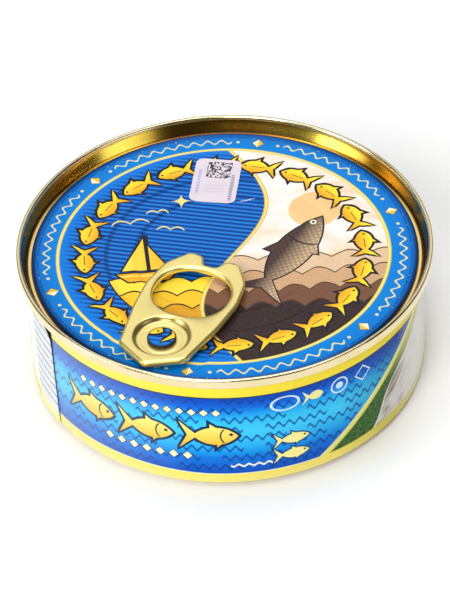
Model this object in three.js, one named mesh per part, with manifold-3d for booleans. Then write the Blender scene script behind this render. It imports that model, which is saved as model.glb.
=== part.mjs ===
// A shut round fish tin with an easy-open lid: a drawn body, a seamed lid with a
// stepped panel, a riveted ring-pull tab, a paper wrap label and a small sticker.
// Millimetres, +Z up. The origin is the middle of the base plane, and the front
// of the label faces -Y.

import * as THREE from "three";
import { mergeVertices } from "three/addons/utils/BufferGeometryUtils.js";
import Module from "manifold-3d";

// ---------------------------------------------------------------- sizes
const HEIGHT = 36.0;            // base plane to the top of the seam
const SEAM_R = 51.15;           // outer radius of the double seam
const SEAM_T = 1.25;            // seam thickness
const SEAM_H = 2.6;             // seam height
const SEGMENTS = 64;            // facets around the tin

const BODY_R = 49.45;           // body wall
const BODY_WALL = 0.30;         // wall that stands up beside the lid
const BASE_CORNER = 2.2;        // rounded lower corner
const BASE_RING_IN = 43.6;      // inner edge of the flat ring that the tin rests on
const BASE_RISE = 1.0;          // the base panel stands in by this much
const BASE_BEAD = 0.35;         // raised bead on the base panel

const LID_UNDER = 5.7;          // rim top down to the lid's under face
const PANEL_DROP = 3.75;        // rim top down to the outer panel
const STEP_DROP = 0.29;         // each step of the panel goes down by this
const STEP_RADII = [36.0, 29.3, 22.3];
const STEP_RUN = 1.1;           // width of each sloping step
const GROOVE_DROP = 4.55;       // rim top down to the floor of the edge groove
const GROOVE_R = 48.05;
const BEAD_R = 47.3;            // rolled bead just inside the groove
const BEAD_RISE = 0.32;
const SCORE_R = 46.0;           // opening score
const SCORE_W = 0.36;
const SCORE_D = 0.08;

const RIVET_R = 36.3;           // distance of the rivet from the tin's axis
const RIVET_ANGLE = -115.5;     // degrees from +X
const RIVET_STEM = 2.3;
const RIVET_HEAD = 3.45;
const RIVET_HEAD_T = 0.55;
const POCKET_HALF = 12.3;       // shallow pocket in the panel under the nose
const POCKET_FROM = -8.2;
const POCKET_TO = 11.0;
const POCKET_D = 0.3;

const TAB_T = 2.0;              // curled edge height of the tab
const TAB_GAP = 0.3;            // clearance over the outer panel
const TAB_CURL = 0.7;           // radius of the curled edge
const NOSE = 10.5;              // rivet to the tip of the nose
const NOSE_CORNER = [-5.7, 8.7];
const RING_HALF = 11.75;        // half width across the ring
const RING_AT = 17.0;           // rivet to the widest place
const EAR = [30.3, 4.9];        // the two ears at the far end
const NOTCH = [27.6, 1.7];      // the notch between them
const HOLE_AT = 17.0;           // finger hole: centre, half length, half width
const HOLE_HALF = [8.5, 9.4];
const DISH_R = 7.1;             // round dish about the rivet
const DISH_FLOOR_R = 5.5;
const DISH_FLOOR_T = 0.75;
const TAB_BORE = 2.7;

const LABEL_T = 0.18;
const LABEL_GAP = 0.08;
const LABEL_FROM = 1.75;
const LABEL_TO = 33.15;
const LAP_END = -147.2;         // visible free end of the wrap
const LAP_START = -156.0;       // hidden end under it
const LAP_RAMP = 14.0;          // degrees over which the flap climbs
const FLAP_SLANT = [10.0, 3.6]; // the free end's top edge slants down: along, down

const STICKER_W = 11.8;
const STICKER_L = 16.6;
const STICKER_T = 0.12;
const STICKER_GAP = 0.12;
const STICKER_CORNER = 1.8;
const STICKER_AT = [-1.6, 28.4];
const STICKER_TURN = -9.0;

// ---------------------------------------------------------------- helpers
const wasm = await Module();
wasm.setup();
const rad = THREE.MathUtils.degToRad;
const V2 = (x, y) => new THREE.Vector2(x, y);

function bare(geometry) {
  const g = geometry.clone();
  g.deleteAttribute("normal");
  g.deleteAttribute("uv");
  return mergeVertices(g, 1e-4);
}

function solid(geometry) {
  const g = bare(geometry);
  const triVerts = new Uint32Array(g.index.array);
  const vertProperties = new Float32Array(g.attributes.position.array);
  return new wasm.Manifold(new wasm.Mesh({ numProp: 3, vertProperties, triVerts }));
}

function geometryOf(manifold) {
  const m = manifold.getMesh();
  const g = new THREE.BufferGeometry();
  const out = new Float32Array(m.numVert * 3);
  for (let i = 0; i < m.numVert; i++)
    for (let k = 0; k < 3; k++) out[i * 3 + k] = m.vertProperties[i * m.numProp + k];
  g.setAttribute("position", new THREE.BufferAttribute(out, 3));
  g.setIndex(new THREE.BufferAttribute(new Uint32Array(m.triVerts), 1));
  g.computeVertexNormals();
  return g;
}

// A turned solid about +Z from an (r, z) outline that runs counter-clockwise
// from the axis at the bottom to the axis at the top.
function turned(outline, segments = SEGMENTS) {
  const g = new THREE.LatheGeometry(outline.map(([r, z]) => V2(r, z)), segments);
  g.rotateX(Math.PI / 2);
  return g;
}

function finish(colour, roughness, metalness) {
  return new THREE.MeshStandardMaterial({ color: colour, roughness, metalness });
}

function arc(cx, cz, r, from, to, steps) {
  const out = [];
  for (let i = 0; i <= steps; i++) {
    const a = rad(from + ((to - from) * i) / steps);
    out.push([cx + r * Math.cos(a), cz + r * Math.sin(a)]);
  }
  return out;
}

// ---------------------------------------------------------------- body
const recessFloor = HEIGHT - LID_UNDER - 0.3;
const wallTop = HEIGHT - SEAM_H - 0.2;
const bodyOutline = [
  [0, BASE_RISE],
  [30, BASE_RISE],
  [31, BASE_RISE + BASE_BEAD],
  [37, BASE_RISE + BASE_BEAD],
  [38, BASE_RISE],
  [BASE_RING_IN - 1.2, BASE_RISE],
  [BASE_RING_IN, 0],
  ...arc(BODY_R - BASE_CORNER, BASE_CORNER, BASE_CORNER, -90, 0, 4),
  [BODY_R, wallTop],
  [BODY_R - BODY_WALL, wallTop],
  [BODY_R - BODY_WALL, recessFloor],
  [0, recessFloor],
];

// ---------------------------------------------------------------- lid
const panelZ = HEIGHT - PANEL_DROP;
const grooveZ = HEIGHT - GROOVE_DROP;

// Upper face of the panel from the rolled bead to the axis, outside in.
const panelOutline = [[BEAD_R - 0.6, panelZ]];
panelOutline.push(
  [SCORE_R + SCORE_W / 2, panelZ], [SCORE_R, panelZ - SCORE_D], [SCORE_R - SCORE_W / 2, panelZ]);
STEP_RADII.forEach((r, i) => {
  panelOutline.push([r + STEP_RUN / 2, panelZ - i * STEP_DROP]);
  panelOutline.push([r - STEP_RUN / 2, panelZ - (i + 1) * STEP_DROP]);
});
panelOutline.push([0, panelZ - STEP_RADII.length * STEP_DROP]);

function panelHeight(r) {
  for (let i = 1; i < panelOutline.length; i++) {
    const [r0, z0] = panelOutline[i - 1];
    const [r1, z1] = panelOutline[i];
    if (r >= r1 && r <= r0) return z0 + ((z1 - z0) * (r0 - r)) / Math.max(r0 - r1, 1e-6);
  }
  return panelZ;
}

const lidUnder = HEIGHT - LID_UNDER;
const plugR = BODY_R - BODY_WALL - 0.1;
const seamMid = SEAM_R - SEAM_T / 2;
const lidOutline = [
  [0, lidUnder],
  [plugR - 0.45, lidUnder],
  [plugR, lidUnder + 0.45],
  [plugR, HEIGHT - SEAM_H],
  [SEAM_R - 0.4, HEIGHT - SEAM_H],
  [SEAM_R, HEIGHT - SEAM_H + 0.4],
  ...arc(seamMid, HEIGHT - SEAM_T / 2, SEAM_T / 2, 0, 180, 6),
  [SEAM_R - SEAM_T - 0.17, HEIGHT - 1.1],   // the inner wall leans in to the groove
  [GROOVE_R + 0.32, grooveZ + 0.58],
  [GROOVE_R + 0.16, grooveZ + 0.16],
  [GROOVE_R, grooveZ],
  [GROOVE_R - 0.16, grooveZ + 0.08],
  [BEAD_R + 0.26, panelZ + 0.02],
  [BEAD_R + 0.06, panelZ + BEAD_RISE],
  [BEAD_R - 0.26, panelZ + BEAD_RISE * 0.8],
  ...panelOutline,
];

// The tab's own frame: +X runs from the rivet towards the ring, Z = 0 is its
// under face.
const tabZ = panelZ + TAB_GAP;
const tabFrame = new THREE.Matrix4()
  .makeTranslation(
    RIVET_R * Math.cos(rad(RIVET_ANGLE)),
    RIVET_R * Math.sin(rad(RIVET_ANGLE)),
    0)
  .multiply(new THREE.Matrix4().makeRotationZ(rad(RIVET_ANGLE + 180)));

// Shallow pocket pressed into the panel under the tab's nose.
function pocket() {
  const r = 5.5, w = POCKET_HALF;
  const s = new THREE.Shape();
  s.moveTo(POCKET_FROM + r, -w);
  s.lineTo(POCKET_TO - r, -w);
  s.absarc(POCKET_TO - r, -w + r, r, -Math.PI / 2, 0);
  s.lineTo(POCKET_TO, w - r);
  s.absarc(POCKET_TO - r, w - r, r, 0, Math.PI / 2);
  s.lineTo(POCKET_FROM + r, w);
  s.absarc(POCKET_FROM + r, w - r, r, Math.PI / 2, Math.PI);
  s.lineTo(POCKET_FROM, -w + r);
  s.absarc(POCKET_FROM + r, -w + r, r, Math.PI, Math.PI * 1.5);
  const g = new THREE.ExtrudeGeometry(s, {
    depth: 2, curveSegments: 5, bevelEnabled: true, bevelSegments: 1,
    bevelSize: 0.5, bevelOffset: -0.5, bevelThickness: POCKET_D,
  });
  g.translate(0, 0, panelZ);
  g.applyMatrix4(tabFrame);
  return g;
}

// The rivet is drawn up out of the lid's own metal: a stem through the tab and
// a flat head over the floor of the tab's dish.
const headZ = tabZ + DISH_FLOOR_T + 0.3;
function rivet() {
  const g = turned([
    [0, lidUnder + 0.4],
    [RIVET_STEM + 0.5, lidUnder + 0.4],
    [RIVET_STEM, panelZ + 0.1],
    [RIVET_STEM, headZ],
    [RIVET_HEAD - 0.15, headZ],
    [RIVET_HEAD, headZ + 0.18],
    [RIVET_HEAD - 0.05, headZ + RIVET_HEAD_T - 0.15],
    [RIVET_HEAD - 0.3, headZ + RIVET_HEAD_T],
    [0, headZ + RIVET_HEAD_T],
  ], 28);
  g.applyMatrix4(tabFrame);
  return g;
}

const lidGeometry = geometryOf(
  solid(turned(lidOutline)).subtract(solid(pocket())).add(solid(rivet())));

// ---------------------------------------------------------------- ring-pull tab
function tabGeometry() {
  const half = [
    V2(NOSE_CORNER[0] + 2.2, NOSE_CORNER[1] + 0.55),
    V2(2, 10.15),
    V2(9, 11.25),
    V2(RING_AT, RING_HALF),
    V2(22.5, 11.1),
    V2(27, 8.9),
    V2(EAR[0] - 0.9, EAR[1] + 1.9),
    V2(EAR[0], EAR[1]),
    V2(EAR[0] - 0.6, EAR[1] - 1.9),
    V2(NOTCH[0] + 0.9, NOTCH[1] + 0.2),
    V2(NOTCH[0], NOTCH[1] - 1.1),
  ];
  const s = new THREE.Shape();
  s.moveTo(-NOSE, 0.7);
  s.lineTo(NOSE_CORNER[0] - 0.9, NOSE_CORNER[1] - 1.5);
  s.quadraticCurveTo(NOSE_CORNER[0], NOSE_CORNER[1], half[0].x, half[0].y);
  s.splineThru(half.slice(1));
  s.lineTo(NOTCH[0], -(NOTCH[1] - 1.1));
  s.splineThru(half.slice(0, -1).reverse().map((p) => V2(p.x, -p.y)));
  s.quadraticCurveTo(NOSE_CORNER[0], -NOSE_CORNER[1], NOSE_CORNER[0] - 0.9, -NOSE_CORNER[1] + 1.5);
  s.lineTo(-NOSE, -0.7);
  s.closePath();
  const points = s.getSpacedPoints(96).slice(0, -1);
  const outline = new THREE.Shape(points);
  const hole = new THREE.Path();
  const count = 36;
  for (let i = 0; i < count; i++) {
    const a = (i / count) * 2 * Math.PI;
    const c = Math.cos(a), d = Math.sin(a);
    // slightly squarer than an ellipse
    const k = Math.pow(Math.pow(Math.abs(c), 2.3) + Math.pow(Math.abs(d), 2.3), -1 / 2.3);
    const p = V2(HOLE_AT + HOLE_HALF[0] * c * k, HOLE_HALF[1] * d * k);
    if (i) hole.lineTo(p.x, p.y); else hole.moveTo(p.x, p.y);
  }
  hole.closePath();
  outline.holes.push(hole);
  const plate = new THREE.ExtrudeGeometry(outline, {
    depth: TAB_T - 2 * TAB_CURL, curveSegments: 1, bevelEnabled: true, bevelSegments: 2,
    bevelSize: TAB_CURL, bevelOffset: -TAB_CURL, bevelThickness: TAB_CURL,
  });
  plate.translate(0, 0, TAB_CURL);
  const dish = turned([
    [0, DISH_FLOOR_T],
    [DISH_FLOOR_R, DISH_FLOOR_T],
    [DISH_R - 1.0, DISH_FLOOR_T + 0.2],
    [DISH_R - 0.45, TAB_T - 0.45],
    [DISH_R, TAB_T],
    [DISH_R, TAB_T + 1],
    [0, TAB_T + 1],
  ], 36);
  const bore = turned([[0, -1], [TAB_BORE, -1], [TAB_BORE, TAB_T], [0, TAB_T]], 28);
  return geometryOf(solid(plate).subtract(solid(dish)).subtract(solid(bore)));
}

// ---------------------------------------------------------------- paper label
// One strip that goes once round the wall and laps over its own beginning, with
// the top edge of the free end slanting down.
function labelGeometry() {
  const inner = BODY_R + LABEL_GAP;
  const lift = LABEL_T + 0.07;
  const step = 360 / SEGMENTS;
  const angles = [LAP_START];
  const end = LAP_END + 360;
  const slant = THREE.MathUtils.radToDeg(FLAP_SLANT[0] / inner);
  for (let a = Math.ceil((LAP_START + 0.5) / step) * step; a < end - slant - 0.5; a += step) angles.push(a);
  for (let i = 0; i <= 3; i++) angles.push(end - slant * (1 - i / 3));
  const radius = (a) => {
    const t = THREE.MathUtils.clamp((a - (LAP_START + 360 - LAP_RAMP)) / (LAP_RAMP - 1), 0, 1);
    return inner + lift * t * t * (3 - 2 * t);
  };
  const at = (a, r) => V2(r * Math.cos(rad(a)), r * Math.sin(rad(a)));
  const outer = angles.map((a) => at(a, radius(a) + LABEL_T));
  const back = angles.map((a) => at(a, radius(a))).reverse();
  const g = new THREE.ExtrudeGeometry(new THREE.Shape([...outer, ...back]), {
    depth: LABEL_TO - LABEL_FROM, bevelEnabled: false, curveSegments: 1,
  });
  g.translate(0, 0, LABEL_FROM);
  const p = g.attributes.position;
  for (let i = 0; i < p.count; i++) {
    const x = p.getX(i), y = p.getY(i);
    const left = THREE.MathUtils.euclideanModulo(
      LAP_END - THREE.MathUtils.radToDeg(Math.atan2(y, x)) + 1e-4, 360);
    const flap = Math.hypot(x, y) > inner + (LABEL_T + lift) / 2;
    if (!flap || left > slant || p.getZ(i) < (LABEL_FROM + LABEL_TO) / 2) continue;
    p.setZ(i, LABEL_TO - FLAP_SLANT[1] * THREE.MathUtils.clamp(1 - left / slant, 0, 1));
  }
  g.computeVertexNormals();
  return g;
}

// ---------------------------------------------------------------- sticker
// A small paper sticker that follows the steps of the lid's panel.
function stickerGeometry() {
  const g = new THREE.BoxGeometry(1, 1, STICKER_T, 8, 18, 1);
  const p = g.attributes.position;
  const turn = rad(STICKER_TURN);
  for (let i = 0; i < p.count; i++) {
    const y = p.getY(i) * STICKER_L;
    const over = Math.max(0, Math.abs(y) - (STICKER_L / 2 - STICKER_CORNER));
    const inset = STICKER_CORNER - Math.sqrt(Math.max(0, STICKER_CORNER ** 2 - over ** 2));
    const x = p.getX(i) * (STICKER_W - 2 * inset * 0.9);
    const wx = STICKER_AT[0] + x * Math.cos(turn) - y * Math.sin(turn);
    const wy = STICKER_AT[1] + x * Math.sin(turn) + y * Math.cos(turn);
    const r = Math.hypot(wx, wy);
    const z = Math.max(panelHeight(r - 0.5), panelHeight(r), panelHeight(r + 0.5));
    p.setXYZ(i, wx, wy, z + STICKER_GAP + STICKER_T / 2 + p.getZ(i));
  }
  return g;
}

// ---------------------------------------------------------------- the tin
const group = new THREE.Group();

const body = new THREE.Mesh(turned(bodyOutline), finish(0xd8b84a, 0.32, 0.9));
body.name = "tin_body";
group.add(body);

const lid = new THREE.Mesh(lidGeometry, finish(0x0f78d8, 0.28, 0.3));
lid.name = "lid";
group.add(lid);

const tabMount = new THREE.Group();
tabMount.position.set(
  RIVET_R * Math.cos(rad(RIVET_ANGLE)), RIVET_R * Math.sin(rad(RIVET_ANGLE)), tabZ);
tabMount.rotation.z = rad(RIVET_ANGLE + 180);
const tab = new THREE.Mesh(tabGeometry(), finish(0xe6cf74, 0.34, 0.9));
tab.name = "pull_tab";
tabMount.add(tab);
group.add(tabMount);

const label = new THREE.Mesh(labelGeometry(), finish(0x1e7fe0, 0.45, 0.0));
label.name = "label";
group.add(label);

const sticker = new THREE.Mesh(stickerGeometry(), finish(0xf2e0eb, 0.6, 0.0));
sticker.name = "sticker";
group.add(sticker);

export default group;
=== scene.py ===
import math

import bmesh
import bpy
import numpy as np
from mathutils import Matrix, Vector
from mathutils.geometry import delaunay_2d_cdt


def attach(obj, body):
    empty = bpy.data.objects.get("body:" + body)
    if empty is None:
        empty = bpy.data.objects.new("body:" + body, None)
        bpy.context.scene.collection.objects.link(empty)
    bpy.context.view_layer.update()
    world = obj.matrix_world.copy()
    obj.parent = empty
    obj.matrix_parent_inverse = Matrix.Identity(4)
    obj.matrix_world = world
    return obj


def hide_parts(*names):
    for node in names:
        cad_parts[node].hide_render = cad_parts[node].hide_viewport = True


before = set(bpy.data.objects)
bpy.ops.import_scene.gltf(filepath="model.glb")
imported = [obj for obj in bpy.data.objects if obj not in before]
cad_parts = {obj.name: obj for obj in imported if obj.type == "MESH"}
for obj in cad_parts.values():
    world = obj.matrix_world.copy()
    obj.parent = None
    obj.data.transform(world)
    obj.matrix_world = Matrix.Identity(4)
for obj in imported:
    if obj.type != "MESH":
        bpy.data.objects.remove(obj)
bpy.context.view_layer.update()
scene = bpy.context.scene
scene.view_settings.view_transform = "Standard"
scene.view_settings.look = "None"

MM = 0.001

# ------------------------------------------------------------------ sizes (mm)
HEIGHT = 36.0
SEAM_R = 51.15
BODY_R = 49.45
PANEL_Z = 32.25
STEP_DROP = 0.29
STEP_RUN = 1.3
STEP_RADII = (36.0, 29.3, 22.3)
SCORE_R = 46.0
PRINT_R = 47.62
RIVET_R = 36.3
RIVET_ANGLE = math.radians(-115.5)
RIVET = (RIVET_R * math.cos(RIVET_ANGLE), RIVET_R * math.sin(RIVET_ANGLE))
AXIS = (-math.cos(RIVET_ANGLE), -math.sin(RIVET_ANGLE))   # rivet to ring
TAB_Z = PANEL_Z + 0.3
TAB_T = 2.0
LABEL_R = BODY_R + 0.08
LAP_END, LAP_START = -147.2, -156.0


def lin(r, g, b, a=1.0):
    """sRGB 0-255 to scene-linear."""
    out = []
    for c in (r, g, b):
        c = c / 255
        out.append(c / 12.92 if c <= 0.04045 else ((c + 0.055) / 1.055) ** 2.4)
    return (*out, a)


def smooth01(t):
    t = np.clip(t, 0, 1)
    return t * t * (3 - 2 * t)


# ------------------------------------------------------------------ mesh helpers
def make_object(name, verts, faces, materials, index=None, flat=False):
    me = bpy.data.meshes.new(name)
    me.from_pydata([tuple(float(c) * MM for c in v) for v in verts], [], [tuple(int(i) for i in f) for f in faces])
    for m in materials:
        me.materials.append(m)
    if index is not None:
        me.polygons.foreach_set("material_index", np.asarray(index, dtype=np.int32))
    me.validate()
    me.update()
    me.polygons.foreach_set("use_smooth", [not flat] * len(me.polygons))
    ob = bpy.data.objects.new(name, me)
    scene.collection.objects.link(ob)
    return ob


def finer(points, times=2, keep_ends=True):
    """Rounds a polyline by corner cutting."""
    pts = [np.array(p, float) for p in points]
    for _ in range(times):
        out = [pts[0]] if keep_ends else []
        for a, b in zip(pts[:-1], pts[1:]):
            out += [a * 0.75 + b * 0.25, a * 0.25 + b * 0.75]
        if keep_ends:
            out.append(pts[-1])
        pts = out
    return pts


def lathe(profile, segments, height=None):
    """Rings of an (r, z) profile about Z, closed at the axis. Returns verts, faces and each face's ring number."""
    verts, rings = [], []
    ang = np.linspace(0, 2 * np.pi, segments, endpoint=False)
    for r, z in profile:
        if r < 1e-6:
            rings.append([len(verts)])
            verts.append((0, 0, z if height is None else height(0.0, 0.0, z)))
        else:
            start = len(verts)
            x, y = r * np.cos(ang), r * np.sin(ang)
            zz = np.full(segments, z) if height is None else height(x, y, z)
            verts += list(zip(x, y, zz))
            rings.append(list(range(start, start + segments)))
    faces, ring_of = [], []
    for k, (a, b) in enumerate(zip(rings[:-1], rings[1:])):
        for i in range(segments):
            j = (i + 1) % segments
            if len(a) == 1 and len(b) > 1:
                faces.append((a[0], b[j], b[i]))
            elif len(b) == 1 and len(a) > 1:
                faces.append((a[i], a[j], b[0]))
            elif len(a) > 1:
                faces.append((a[i], a[j], b[j], b[i]))
            else:
                continue
            ring_of.append(k)
    return verts, faces, ring_of


def fillet(points, radii, step=0.22):
    """A closed outline with each corner rounded."""
    n = len(points)
    out = []
    for i in range(n):
        p0, p, p1 = (np.array(points[(i + k) % n], float) for k in (-1, 0, 1))
        a, b = p0 - p, p1 - p
        la, lb = np.linalg.norm(a), np.linalg.norm(b)
        a, b = a / la, b / lb
        half = math.acos(float(np.clip(a @ b, -1, 1))) / 2
        t = min(radii[i] / math.tan(half), la * 0.48, lb * 0.48)
        r = t * math.tan(half)
        mid = (a + b) / np.linalg.norm(a + b)
        c = p + mid * (r / math.sin(half))
        s, e = p + a * t - c, p + b * t - c
        a0, a1 = math.atan2(s[1], s[0]), math.atan2(e[1], e[0])
        d = (a1 - a0 + math.pi) % (2 * math.pi) - math.pi
        k = max(2, int(abs(d) * r / step))
        out += [c + r * np.array([math.cos(a0 + d * j / k), math.sin(a0 + d * j / k)]) for j in range(k + 1)]
    return np.array(out)


def resample(points, count):
    p = np.vstack([points, points[:1]])
    s = np.concatenate([[0], np.cumsum(np.linalg.norm(np.diff(p, axis=0), axis=1))])
    t = np.linspace(0, s[-1], count, endpoint=False)
    return np.stack([np.interp(t, s, p[:, k]) for k in (0, 1)], 1)


def normals2(points):
    """Outward normals of a counter-clockwise outline."""
    d = np.roll(points, -1, 0) - np.roll(points, 1, 0)
    n = np.stack([d[:, 1], -d[:, 0]], 1)
    return n / np.linalg.norm(n, axis=1)[:, None]


def inside(points, q):
    """Which of the points q are inside the outline."""
    q = np.asarray(q, float)
    ok = np.zeros(len(q), bool)
    j = len(points) - 1
    for i in range(len(points)):
        xi, yi = points[i]
        xj, yj = points[j]
        hit = ((yi > q[:, 1]) != (yj > q[:, 1]))
        with np.errstate(divide="ignore", invalid="ignore"):
            cross = (xj - xi) * (q[:, 1] - yi) / (yj - yi) + xi
        ok ^= hit & (q[:, 0] < cross)
        j = i
    return ok


def to_tab(x, y):
    """Lid coordinates to the tab's own: along from the rivet to the ring, across to the right."""
    dx, dy = x - RIVET[0], y - RIVET[1]
    return dx * AXIS[0] + dy * AXIS[1], dx * AXIS[1] - dy * AXIS[0]


def from_tab(s, t):
    return RIVET[0] + s * AXIS[0] + t * AXIS[1], RIVET[1] + s * AXIS[1] - t * AXIS[0]


# ------------------------------------------------------------------ lid height
def pocket_depth(x, y):
    s, t = to_tab(x, y)
    cx, hx, hy, r = 1.4, 9.6, 12.3, 5.5
    qx, qy = np.abs(s - cx) - hx + r, np.abs(t) - hy + r
    d = np.hypot(np.maximum(qx, 0), np.maximum(qy, 0)) + np.minimum(np.maximum(qx, qy), 0) - r
    return 0.42 * smooth01(0.5 - d / 1.5)


def panel_height(x, y):
    r = np.hypot(x, y)
    z = np.full_like(r, PANEL_Z, dtype=float)
    for q in STEP_RADII:
        z = z - STEP_DROP * smooth01(0.5 + (q - r) / STEP_RUN)
    z = z - 0.07 * np.exp(-((r - SCORE_R) / 0.13) ** 2)
    return z - pocket_depth(x, y)


# ------------------------------------------------------------------ shader building
class Graph:
    """A thin writer of math nodes: sockets wrapped so that formulas read as formulas."""

    def __init__(self, name):
        self.mat = bpy.data.materials.new(name)
        self.mat.use_nodes = True
        self.nt = self.mat.node_tree
        self.nt.nodes.clear()
        self.out = self.nt.nodes.new("ShaderNodeOutputMaterial")
        self.bsdf = self.nt.nodes.new("ShaderNodeBsdfPrincipled")
        self.nt.links.new(self.bsdf.outputs[0], self.out.inputs[0])

    def node(self, kind, **props):
        n = self.nt.nodes.new(kind)
        for k, v in props.items():
            setattr(n, k, v)
        return n

    def put(self, value, socket):
        if isinstance(value, V):
            self.nt.links.new(value.s, socket)
        else:
            socket.default_value = value

    def math(self, op, *args, clamp=False):
        n = self.node("ShaderNodeMath", operation=op, use_clamp=clamp)
        for i, a in enumerate(args):
            self.put(a, n.inputs[i])
        return V(self, n.outputs[0])

    def object_mm(self):
        """Object coordinates in millimetres."""
        tc = self.node("ShaderNodeTexCoord")
        sep = self.node("ShaderNodeSeparateXYZ")
        self.nt.links.new(tc.outputs["Object"], sep.inputs[0])
        self.coord = tc.outputs["Object"]
        return tuple(V(self, sep.outputs[k]) * 1000.0 for k in range(3))

    def uv(self, name):
        n = self.node("ShaderNodeUVMap", uv_map=name)
        sep = self.node("ShaderNodeSeparateXYZ")
        self.nt.links.new(n.outputs[0], sep.inputs[0])
        return V(self, sep.outputs[0]), V(self, sep.outputs[1])

    def vector(self, x, y, z=0.0):
        n = self.node("ShaderNodeCombineXYZ")
        for i, a in enumerate((x, y, z)):
            self.put(a, n.inputs[i])
        return n.outputs[0]

    def noise(self, where, scale, detail=3.0, rough=0.55, dist=0.0):
        n = self.node("ShaderNodeTexNoise")
        n.inputs["Scale"].default_value = scale
        n.inputs["Detail"].default_value = detail
        n.inputs["Roughness"].default_value = rough
        n.inputs["Distortion"].default_value = dist
        self.nt.links.new(where, n.inputs["Vector"])
        return V(self, n.outputs["Fac"])

    def mix(self, fac, a, b):
        n = self.node("ShaderNodeMix", data_type="RGBA")
        self.put(fac, n.inputs[0])
        self.put(a, n.inputs[6])
        self.put(b, n.inputs[7])
        return V(self, n.outputs[2])

    def ramp(self, fac, stops):
        n = self.node("ShaderNodeValToRGB")
        e = n.color_ramp.elements
        while len(e) < len(stops):
            e.new(0.5)
        for el, (p, c) in zip(e, stops):
            el.position, el.color = p, c
        self.put(fac, n.inputs[0])
        return V(self, n.outputs[0])

    def map(self, v, a, b, c, d):
        n = self.node("ShaderNodeMapRange")
        for i, t in enumerate((v, a, b, c, d)):
            self.put(t, n.inputs[i])
        return V(self, n.outputs[0])

    def bump(self, height, strength, distance):
        n = self.node("ShaderNodeBump")
        n.inputs["Strength"].default_value = strength
        n.inputs["Distance"].default_value = distance
        self.put(height, n.inputs["Height"])
        return V(self, n.outputs[0])

    # signed distances, negative inside, in mm
    def disc(self, x, y, r):
        return self.math("SQRT", x * x + y * y) - r

    def fill(self, d, edge=0.07):
        """1 inside, 0 outside."""
        return self.math("MULTIPLY_ADD", d, -1.0 / edge, 0.5, clamp=True)

    def lens(self, u, v, half, tall):
        rho = (half * half + tall * tall) / (2 * tall)
        w = abs(v) + (rho - tall)
        return self.math("SQRT", u * u + w * w) - rho

    def fish(self, u, v, half, tall, fins=False):
        """A plain fish that looks along +u: a lens, a forked tail and two fins."""
        body = self.lens(u, v, half, tall)
        k = abs(v)
        tail = (k - ((u * -0.95) - half * 0.95 + tall * 0.42)).max((u * -1.0) - half - tall * 0.5 - k * 0.45)
        d = body.min(tail.max(u + half * 0.8))
        if fins:
            p, q = u * (1 / half), v * (1 / tall)
            k1 = 1 / math.hypot(1 / tall, 1.5 / half)
            top = ((q + p * 1.5 - 1.06) * k1).max((p * -1.0 - 0.24) * half).max((0.5 - q) * tall)
            k2 = 1 / math.hypot(1 / tall, 1.8 / half)
            low = ((p * 1.8 - q - 1.42) * k2).max((0.06 - p) * half).max((q + 0.5) * tall)
            d = d.min(top).min(low)
        return d

    def gill(self, u, v, half, tall, width):
        """The line behind a fish's head, bowed towards the tail."""
        d = abs(self.disc(u - half * 0.80, v, half * 0.58)) - width
        return d.max(self.lens(u, v, half, tall) + width * 1.2).max(u - half * 0.52)

    def turn(self, x, y, cx, cy, degrees):
        """Coordinates about (cx, cy), with +u turned by degrees."""
        c, s = math.cos(math.radians(degrees)), math.sin(math.radians(degrees))
        dx, dy = x - cx, y - cy
        return dx * c + dy * s, dy * c - dx * s

    def repeat(self, u, pitch):
        """u folded into -pitch/2 .. pitch/2."""
        return self.math("WRAP", u, pitch / 2, -pitch / 2)


class V:
    def __init__(self, g, s):
        self.g, self.s = g, s

    def __add__(self, o):
        return self.g.math("ADD", self, o)

    __radd__ = __add__

    def __sub__(self, o):
        return self.g.math("SUBTRACT", self, o)

    def __rsub__(self, o):
        return self.g.math("SUBTRACT", o, self)

    def __mul__(self, o):
        return self.g.math("MULTIPLY", self, o)

    __rmul__ = __mul__

    def __truediv__(self, o):
        return self.g.math("DIVIDE", self, o)

    def __abs__(self):
        return self.g.math("ABSOLUTE", self)

    def max(self, o):
        return self.g.math("MAXIMUM", self, o)

    def min(self, o):
        return self.g.math("MINIMUM", self, o)

    def sin(self):
        return self.g.math("SINE", self)

    def sqrt(self):
        return self.g.math("SQRT", self)


# ------------------------------------------------------------------ colours
BLUE_BAND = lin(0, 115, 206)
BLUE_LIGHT = lin(30, 126, 214)
BLUE_DARK = lin(0, 58, 146)
YELLOW = lin(250, 216, 40)
PALE_YELLOW = lin(243, 226, 130)
CREAM = lin(250, 240, 205)
INK = lin(34, 26, 14)
WHITE = lin(250, 247, 240)
PEACH = lin(250, 222, 184)
SAND = lin(214, 172, 126)
BROWN = lin(122, 82, 52)
DARK_BROWN = lin(52, 35, 22)


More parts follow.
